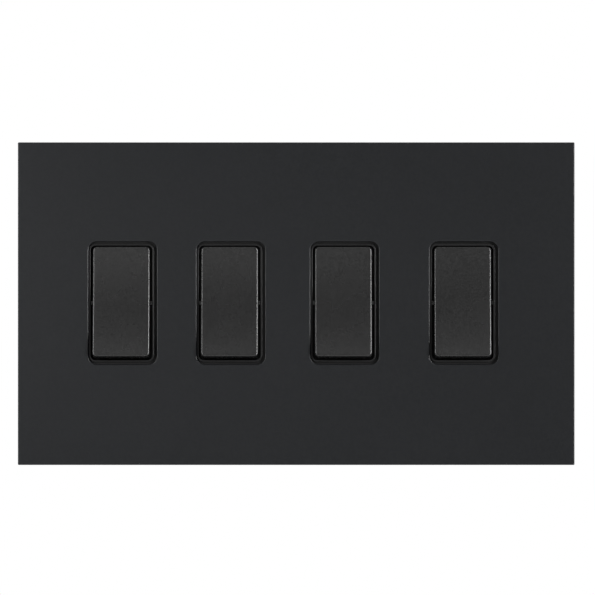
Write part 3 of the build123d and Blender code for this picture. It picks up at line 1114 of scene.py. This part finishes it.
@dataclass
class TerminalScrews:
    """The slotted screws that clamp the wires, one in the back of each brass block.

    Attributes:
        head_radius: Radius of the head.
        head_height: Height of the head.
        head_sides: Flats round the head.
        head_rows: Rows of faces up the side of the head.
        top_start: Height above the head's middle where its top starts, as a share of its height.
        top_size: Size of the top inside the broken edge, as a share of the head's size.
        slot_width: Width of the driver slot.
        slot_depth: Depth of the driver slot.
        slot_run: Length of the slot's cutter in radii of the head.
        thread_radius: Outer radius of the thread.
        thread_depth: Depth of the thread.
        thread_sides: Flats round the thread.
        thread_rows: Rows of faces along the thread.
        pitch: Pitch of the thread.
        length: Length of the thread below the head.
        lift: How far the head stands off its block.
        spin: Farthest that a slot is turned either way, in radians.
        seed: Fixes the way that each slot points.
    """

    head_radius: float = 2.15
    head_height: float = 1.1
    head_sides: int = 40
    head_rows: int = 6
    top_start: float = 0.45
    top_size: float = 0.9
    slot_width: float = 0.65
    slot_depth: float = 0.6
    slot_run: float = 3.0
    thread_radius: float = 1.6
    thread_depth: float = 0.28
    thread_sides: int = 24
    thread_rows: int = 22
    pitch: float = 0.6
    length: float = 2.0
    lift: float = 0.35
    spin: float = 1.2
    seed: int = 7

    def head(self, tree: Tree) -> Socket:
        """The slotted head, which stands off its block.

        Args:
            tree: The tree that it is made in.

        Returns:
            The geometry.
        """
        size = tree.start
        height = size["head_height"]
        place = tree.made("GeometryNodeInputPosition")
        up = tree.node("ShaderNodeSeparateXYZ", {0: place}).outputs["Z"]
        head = tree.made("GeometryNodeMeshCylinder", {
            "Vertices": size["head_sides"], "Side Segments": size["head_rows"],
            "Radius": size["head_radius"], "Depth": height})
        on_top = tree.sum("GREATER_THAN", up, tree.sum("MULTIPLY", height, size["top_start"]))
        inside = tree.made("ShaderNodeVectorMath", {
            0: place, 1: tree.vector(size["top_size"], size["top_size"], 1.0)}, operation="MULTIPLY")
        head = tree.made("GeometryNodeSetPosition", {
            "Geometry": head, "Selection": on_top, "Position": inside})
        # Half of the cutter stands above the head.
        cutter_size = tree.vector(tree.sum("MULTIPLY", size["head_radius"], size["slot_run"]),
                                  size["slot_width"], tree.sum("MULTIPLY", size["slot_depth"], 2.0))
        cutter = tree.made("GeometryNodeMeshCube", {"Size": cutter_size})
        cutter = tree.raised(cutter, tree.sum("MULTIPLY", height, 0.5))
        head = tree.made("GeometryNodeMeshBoolean", {"Mesh 1": head, "Mesh 2": cutter},
                         operation="DIFFERENCE", solver="EXACT")
        return tree.raised(head, tree.sum("MULTIPLY_ADD", height, 0.5, size["lift"]))

    def shank(self, tree: Tree) -> Socket:
        """The threaded shank, from the underside of the head into the block.

        Args:
            tree: The tree that it is made in.

        Returns:
            The geometry.
        """
        size = tree.start
        length, lift = size["length"], size["lift"]
        place = tree.made("GeometryNodeInputPosition")
        x, y, z = tree.node("ShaderNodeSeparateXYZ", {0: place}).outputs
        shank = tree.made("GeometryNodeMeshCylinder", {
            "Vertices": size["thread_sides"], "Side Segments": size["thread_rows"], "Radius": 1.0,
            "Depth": tree.sum("ADD", length, lift)})
        turn = tree.sum("DIVIDE", tree.sum("ARCTAN2", y, x), 2 * math.pi)
        phase = tree.sum("ADD", tree.sum("DIVIDE", z, size["pitch"]), turn)
        groove = tree.sum("MULTIPLY", tree.sum("PINGPONG", phase, 0.5), 2.0)
        cut = tree.sum("MULTIPLY", groove, size["thread_depth"])
        radius = tree.sum("SUBTRACT", size["thread_radius"], cut)
        threaded = tree.made("ShaderNodeVectorMath", {0: place, 1: tree.vector(radius, radius, 1.0)},
                             operation="MULTIPLY")
        shank = tree.made("GeometryNodeSetPosition", {"Geometry": shank, "Position": threaded})
        return tree.raised(shank, tree.sum("MULTIPLY", tree.sum("SUBTRACT", lift, length), 0.5))

    def tree(self, material: bpy.types.Material) -> Tree:
        """The node tree that sets one slotted screw on every point.

        Args:
            material: The screws' finish.

        Returns:
            The tree.
        """
        tree = Tree("slotted_screw", asdict(self) | {"material": material})
        size = tree.start
        screw = tree.node("GeometryNodeJoinGeometry")
        for shape in (self.head(tree), self.shank(tree)):
            tree.feed(screw, {0: shape})
        tipped = -math.pi / 2
        turned = tree.made("FunctionNodeRandomValue", {
            "Min": tree.vector(tipped, tree.sum("MULTIPLY", size["spin"], -1.0)),
            "Max": tree.vector(tipped, size["spin"]), "Seed": size["seed"]}, data_type="FLOAT_VECTOR")
        screws = tree.made("GeometryNodeInstanceOnPoints", {
            "Points": tree.start["Geometry"], "Instance": screw.outputs[0], "Rotation": turned})
        tree.close(screws, size["material"])
        return tree

    def places(self) -> list[Vector]:
        """The middle of the back of every terminal block.

        Returns:
            The places in millimetres.
        """
        blocks = ["earth_terminal"]
        for gang in GANGS:
            blocks += [f"{kind}_terminal_{gang}" for kind in ("common", "l1", "l2")]
        spots = []
        for name in blocks:
            corners = [vert.co for vert in frame["nodes"][name].data.vertices]
            back = max(corner.y for corner in corners)
            rear = [corner for corner in corners if corner.y > back - ON_BACK * MM]
            low = Vector(min(corner[axis] for corner in rear) for axis in range(3))
            high = Vector(max(corner[axis] for corner in rear) for axis in range(3))
            spots.append((low + high) / 2 / MM)
        return spots

    def dress(self, materials: Materials) -> None:
        """Adds the screws as one piece of the root body.

        Args:
            materials: The finishes.
        """
        tree = self.tree(materials[Slot.FRAME])
        mesh = welded(tree.made_mesh("terminal_screws", self.places()), WELD)
        mesh.transform(Matrix.Scale(MM, 4))
        add_piece(smoothed(mesh), materials, Slot.FRAME, ROOT_BODY)


@dataclass
class SoftEdged:
    """Pieces that keep their form, with the small edge radii that moulding, pressing or deburring leave.

    Attributes:
        node: Name of the node, without a gang's number.
        slot: The finish.
        body: Name of the body, without a gang's number.
        radius: Edge radius.
        in_every_gang: Whether each gang has one.
        steps: Steps in each edge.
        sharp_angle: Edges that turn by more than this many degrees are rounded.
    """

    node: str
    slot: Slot
    body: str = ROOT_BODY
    radius: float = 0.15
    in_every_gang: bool = True
    steps: int = 3
    sharp_angle: float = 40.0

    def mesh(self, node: str) -> bpy.types.Mesh:
        """The node's form with its outer edges rounded.

        Args:
            node: Full name of the node.

        Returns:
            The mesh in metres.
        """
        bm = bmesh.new()
        bm.from_mesh(frame["nodes"][node].data)
        bmesh.ops.remove_doubles(bm, verts=bm.verts, dist=SAME_CORNER * MM)
        bmesh.ops.dissolve_limit(bm, angle_limit=math.radians(FLAT_ANGLE), verts=bm.verts, edges=bm.edges)
        sharp = math.radians(self.sharp_angle)
        edges = [edge for edge in bm.edges
                 if edge.is_manifold and edge.is_convex and edge.calc_face_angle() > sharp]
        bmesh.ops.bevel(bm, geom=edges, offset=self.radius * MM, offset_type="OFFSET", segments=self.steps,
                        profile=0.5, affect="EDGES", clamp_overlap=True)
        return smoothed(welded(closed_mesh(bm, node + "_soft"), WELD * MM))

    def dress(self, materials: Materials) -> None:
        """Puts the soft-edged form in place of each node.

        Args:
            materials: The finishes.
        """
        for tail in [f"_{gang}" for gang in GANGS] if self.in_every_gang else [""]:
            node = self.node + tail
            body = self.body if self.body == ROOT_BODY else self.body + tail
            add_piece(self.mesh(node), materials, self.slot, body, (node,))


def soft_pieces() -> list[SoftEdged]:
    """Every piece whose node keeps its form.

    Returns:
        The pieces in order.
    """
    return [
        SoftEdged("plate_carrier", Slot.MOULDING, radius=0.2, in_every_gang=False),
        SoftEdged("mounting_frame", Slot.FRAME, radius=0.12, in_every_gang=False),
        SoftEdged("earth_terminal", Slot.BRASS, radius=0.2, in_every_gang=False),
        SoftEdged("housing", Slot.MOULDING, radius=0.14),
        SoftEdged("base", Slot.MOULDING, radius=0.14),
        SoftEdged("common_terminal", Slot.BRASS, radius=0.1),
        SoftEdged("l1_terminal", Slot.BRASS, radius=0.1),
        SoftEdged("l2_terminal", Slot.BRASS, radius=0.1),
        SoftEdged("fixed_contacts", Slot.SILVER, radius=0.08),
        SoftEdged("contact_arm", Slot.BRASS, "contact_arm", radius=0.08),
        SoftEdged("moving_contacts", Slot.SILVER, "contact_arm", radius=0.08),
        SoftEdged("plunger", Slot.PLUNGER, "plunger", radius=0.12),
    ]


# Studio


@dataclass(frozen=True)
class Lamp:
    """A soft rectangular lamp that looks at the switch.

    Attributes:
        name: Name of the lamp.
        azimuth: Degrees to the right of the camera.
        elevation: Degrees above the camera.
        distance: Metres from the switch.
        width: Width in metres.
        height: Height in metres.
        radiance: Brightness of its surface.
    """

    name: str
    azimuth: float
    elevation: float
    distance: float
    width: float
    height: float
    radiance: float

    def place(self) -> None:
        """Adds the lamp to the scene."""
        data = bpy.data.lights.new(self.name, "AREA")
        data.shape = "RECTANGLE"
        data.size, data.size_y = self.width, self.height
        data.energy = self.radiance * math.pi * self.width * self.height
        turn, rise = math.radians(self.azimuth), math.radians(self.elevation)
        away = Vector((math.sin(turn) * math.cos(rise), -math.cos(turn) * math.cos(rise), math.sin(rise)))
        lamp = placed(self.name, data)
        lamp.location = away * self.distance
        lamp.rotation_euler = away.to_track_quat("Z", "Y").to_euler()


@dataclass
class Studio:
    """The camera, lamps, floor and surroundings.

    Attributes:
        lens: Focal length in millimetres.
        sensor: Width of the camera's sensor in millimetres.
        view_width: Width of the picture at the plate, in metres.
        aim: Where the picture's middle lies on the plate, in metres along X and Z.
        floor_level: Height of the floor in metres.
        floor_radius: Radius of the floor in metres.
        floor_sides: Sides of the floor.
        floor_grey: Grey of the floor.
        floor_roughness: Roughness of the floor.
        fade: Where the floor's fade to white starts and ends, as shares of its radius.
        middle_white: Share of plain white in the middle of the floor.
        ambient: Strength of the soft light from all round.
        front_dark: Strength of the surroundings in front of the switch, as gloss shows them.
        turn_bright: Where they turn bright, from in front of the switch (-1) to behind it (1).
        lamps: Every lamp.
    """

    lens: float = 200.0
    sensor: float = 36.0
    view_width: float = 0.15762
    aim: tuple[float, float] = (0.00034, 0.00163)
    floor_level: float = -0.16
    floor_radius: float = 0.45
    floor_sides: int = 96
    floor_grey: float = 0.86
    floor_roughness: float = 0.8
    fade: tuple[float, float] = (0.35, 0.95)
    middle_white: float = 0.4
    ambient: float = 0.1
    front_dark: float = 0.06
    turn_bright: tuple[float, float] = (-0.5, 0.3)
    lamps: tuple[Lamp, ...] = (
        # Name, azimuth, elevation, distance, width, height and radiance
        Lamp("front_fill", -20.0, 0.3, 1.3, 1.2, 0.2, 0.765),
        Lamp("top_band", -4.0, 30.0, 1.1, 1.2, 0.26, 0.92),
        Lamp("overhead", 0.0, 62.0, 1.2, 0.9, 0.5, 1.4),
        Lamp("left_strip", -40.0, 10.0, 0.4, 0.083, 0.243, 11.0),
        Lamp("right_strip", 40.0, 10.0, 1.3, 0.27, 0.79, 28.0),
        Lamp("rear_soft", 180.0, 35.0, 1.2, 1.0, 0.8, 0.9),
    )

    def camera(self) -> None:
        """A long lens straight in front of the plate."""
        data = bpy.data.cameras.new("camera")
        data.lens, data.sensor_width = self.lens, self.sensor
        camera = placed("camera", data)
        distance = self.view_width * self.lens / self.sensor
        camera.location = (self.aim[0], plate_face() * MM - distance, self.aim[1])
        camera.rotation_euler = (math.pi / 2, 0, 0)
        bpy.context.scene.camera = camera

    def surroundings(self) -> None:
        """White behind the switch, soft grey light on it, and a darker room in front of it."""
        world = bpy.data.worlds.new("studio")
        bpy.context.scene.world = world
        world.use_nodes = True
        shading = Shading(world.node_tree)
        soft = world.node_tree.nodes["Background"]
        shading.feed(soft, {"Color": WHITE, "Strength": self.ambient})
        rays = shading.node("ShaderNodeLightPath").outputs
        way = shading.node("ShaderNodeTexCoord").outputs["Generated"]
        depth = shading.node("ShaderNodeSeparateXYZ", {0: way}).outputs["Y"]
        strength = shading.span(depth, self.front_dark, 1.0, self.turn_bright, eased=True)
        shiny = shading.made("ShaderNodeBackground", {"Color": WHITE, "Strength": strength})
        white = shading.made("ShaderNodeBackground", {"Color": WHITE})
        lit = shading.mix(rays["Is Glossy Ray"], soft.outputs[0], shiny)
        seen = shading.sum("MAXIMUM", rays["Is Camera Ray"], rays["Is Transmission Ray"])
        shading.feed(world.node_tree.nodes["World Output"], {"Surface": shading.mix(seen, lit, white)})

    def floor(self) -> None:
        """A pale floor below the picture that fades to white and shows only from above."""
        bm = bmesh.new()
        bmesh.ops.create_circle(bm, cap_ends=True, radius=self.floor_radius, segments=self.floor_sides)
        mesh = closed_mesh(bm, "floor")
        mesh.materials.append(self.floor_material())
        floor = placed("floor", mesh)
        floor.location = (0, 0, self.floor_level)

    def floor_material(self) -> bpy.types.Material:
        """Pale matt floor, plain white to the eye towards its rim and clear from below.

        Returns:
            The material.
        """
        material, shading, pale = new_material("pale_floor")
        grey = self.floor_grey
        shading.feed(pale, {"Base Color": (grey, grey, grey, 1), "Roughness": self.floor_roughness})
        place = shading.node("ShaderNodeTexCoord").outputs["Object"]
        distance = shading.node("ShaderNodeVectorMath", {0: place}, operation="LENGTH").outputs["Value"]
        start, stop = (self.floor_radius * share for share in self.fade)
        faded = shading.span(distance, self.middle_white, 1.0, (start, stop), eased=True)
        rays = shading.node("ShaderNodeLightPath").outputs
        seen = rays["Is Camera Ray"]
        for kind in ("Is Glossy Ray", "Is Transmission Ray"):
            seen = shading.sum("MAXIMUM", seen, rays[kind])
        white = shading.made("ShaderNodeEmission", {"Color": WHITE})
        upper = shading.mix(shading.sum("MULTIPLY", seen, faded), pale.outputs[0], white)
        below = shading.node("ShaderNodeNewGeometry").outputs["Backfacing"]
        clear = shading.made("ShaderNodeBsdfTransparent")
        whole = shading.mix(below, upper, clear)
        shading.feed(material.node_tree.nodes["Material Output"], {"Surface": whole})
        return material

    def build(self) -> None:
        """Sets up the whole studio."""
        self.camera()
        self.surroundings()
        self.floor()
        for lamp in self.lamps:
            lamp.place()
        bpy.context.scene.view_settings.view_transform = "Standard"


def main() -> None:
    """Builds every sub-assembly in order and sets up the studio."""
    logging.basicConfig(level=logging.INFO, format="%(message)s")
    materials = Finishes().materials()
    FrontPlate().dress(materials)
    rocker = Rocker()
    rocker.dress(materials)
    PlungerSprings().dress(materials, rocker)
    for piece in soft_pieces():
        piece.dress(materials)
    TerminalScrews().dress(materials)
    Studio().build()


if __name__ == "__main__":
    main()
